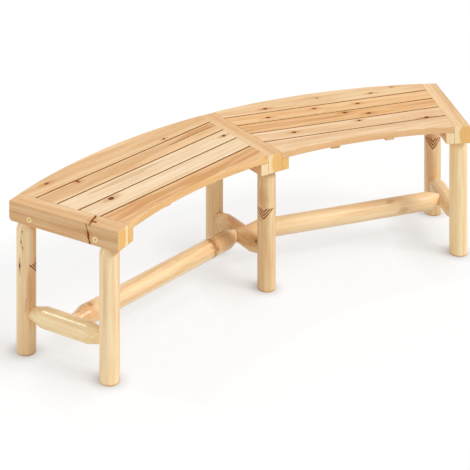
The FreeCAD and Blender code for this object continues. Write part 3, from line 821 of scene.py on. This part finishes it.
# The floor's glow carries painted shadows, drawn by ambient occlusion: painted shade close round
# each foot and a painted shadow that falls away from the key lamp. The values are how far each kind
# reaches, their depth, and how much of the white floor is that glow, which no other shadow darkens.
FLOOR_HALF = 30.0
FLOOR_PAINT = (0.8, 0.8, 0.8, 1)
CONTACT_REACH = 0.04
CAST_REACH = 0.2
CAST_FROM = (0.62, -0.72, 0.3)
PAINTED_SHADOW = (0.36, 0.3, 0.26, 1)
FLOOR_GLOW = 0.78


def make_floor():
    """A wide pale floor that keeps faint lamp shadows and painted ones in its glow, and otherwise
    looks white.
    """
    mesh = bpy.data.meshes.new("floor")
    corners = [(-FLOOR_HALF, -FLOOR_HALF, 0), (FLOOR_HALF, -FLOOR_HALF, 0),
               (FLOOR_HALF, FLOOR_HALF, 0), (-FLOOR_HALF, FLOOR_HALF, 0)]
    mesh.from_pydata(corners, [], [(0, 1, 2, 3)])
    floor = bpy.data.objects.new("floor", mesh)
    bpy.context.scene.collection.objects.link(floor)
    material = bpy.data.materials.new("floor_paint")
    tree = empty_tree(material)
    paint = put(tree, "ShaderNodeBsdfDiffuse", {"Color": FLOOR_PAINT})[0]
    white_paint = put(tree, "ShaderNodeBsdfDiffuse", {"Color": WHITE})[0]
    # Ambient occlusion paints shade round each foot and, tilted towards the key lamp, a painted
    # shadow
    near_share = put(tree, "ShaderNodeAmbientOcclusion", {"Distance": CONTACT_REACH})["AO"]
    light_side = vector_calc(tree, "NORMALIZE", vector_of(tree, *CAST_FROM))
    far_share = put(tree, "ShaderNodeAmbientOcclusion",
                    {"Distance": CAST_REACH, "Normal": light_side})["AO"]
    shade = mixed(tree, product(tree, near_share, far_share), PAINTED_SHADOW, WHITE)
    glow = put(tree, "ShaderNodeEmission", {"Color": shade, "Strength": 1.0})[0]
    bright = put(tree, "ShaderNodeMixShader", {0: FLOOR_GLOW, 1: white_paint, 2: glow})[0]
    shader = put(tree, "ShaderNodeMixShader", {0: seen_directly(tree), 1: paint, 2: bright})[0]
    put(tree, "ShaderNodeOutputMaterial", {"Surface": shader})
    mesh.materials.append(material)


# Lamps: strength, width in degrees and the direction that each one's light comes from
LAMPS = {
    "key": (1.6, 18, (0.5, -0.66, 0.8)),
    "fill": (0.5, 60, (-0.9, -0.25, 0.35)),
    "rim": (0.38, 4, (-0.33, 0.38, 0.86)),
}
LAMP_COLOUR = (1.0, 0.99, 0.97)
ROOM_STRENGTH = 0.52


def make_light():
    """A white room that gives even light, and lamps from the front, the left and high behind."""
    world = bpy.data.worlds.new("room")
    bpy.context.scene.world = world
    tree = empty_tree(world)
    room = put(tree, "ShaderNodeBackground", {"Color": WHITE, "Strength": ROOM_STRENGTH})[0]
    white = put(tree, "ShaderNodeBackground", {"Color": WHITE, "Strength": 1.0})[0]
    shader = put(tree, "ShaderNodeMixShader", {0: seen_directly(tree), 1: room, 2: white})[0]
    put(tree, "ShaderNodeOutputWorld", {"Surface": shader})

    for name, (strength, width, direction) in LAMPS.items():
        lamp = bpy.data.lights.new(name, "SUN")
        lamp.energy = strength
        lamp.angle = math.radians(width)
        lamp.color = LAMP_COLOUR
        sun = bpy.data.objects.new(name, lamp)
        sun.rotation_euler = Vector(direction).to_track_quat("Z", "Y").to_euler()
        bpy.context.scene.collection.objects.link(sun)


# The photograph's verticals are all parallel: its picture plane stands upright although the eye
# looks down on the bench. The frame's middle is far below the eye's level line, so the camera's own
# axis is slanted towards it, and its sideways and upright axes stay in the picture plane. The yaw
# is in degrees from +Y towards +X. Column and row are the pixel straight ahead of the eye, counted
# from the frame's upper left corner.
PICTURE_SIZE = 470
EYE_PLACE = TREE_MIDDLE + Vector((-2.7070, -2.0560, 2.3413))
EYE_YAW = 32.2
EYE_FOCAL_PIXELS = 1388.7
EYE_COLUMN = 144.2
EYE_ROW = -441.7
SENSOR_WIDTH = 36.0


def make_camera():
    """The camera, and an empty above it whose slanted axes give the photograph's own view."""
    yaw = math.radians(EYE_YAW)
    ahead = Vector((math.sin(yaw), math.cos(yaw), 0))
    right = Vector((math.cos(yaw), -math.sin(yaw), 0))
    up = Vector((0, 0, 1))
    middle = PICTURE_SIZE / 2
    axis = (ahead + right * (middle - EYE_COLUMN) / EYE_FOCAL_PIXELS
            - up * (middle - EYE_ROW) / EYE_FOCAL_PIXELS)
    slant = Matrix((right, up, -axis.normalized())).transposed().to_4x4()
    camera_data = bpy.data.cameras.new("camera")
    camera_data.sensor_width = SENSOR_WIDTH
    camera_data.lens = EYE_FOCAL_PIXELS * axis.length / PICTURE_SIZE * SENSOR_WIDTH
    camera = bpy.data.objects.new("camera", camera_data)
    stand = bpy.data.objects.new("camera_stand", None)
    for item in (camera, stand):
        bpy.context.scene.collection.objects.link(item)
    camera.parent = stand
    camera.matrix_parent_inverse = Matrix.Translation(EYE_PLACE) @ slant
    bpy.context.scene.camera = camera


make_floor()
make_light()
make_camera()
dress_slats()
dress_beams()
dress_logs()
dress_rails()
dress_fasteners()
bpy.context.scene.view_settings.view_transform = "Standard"
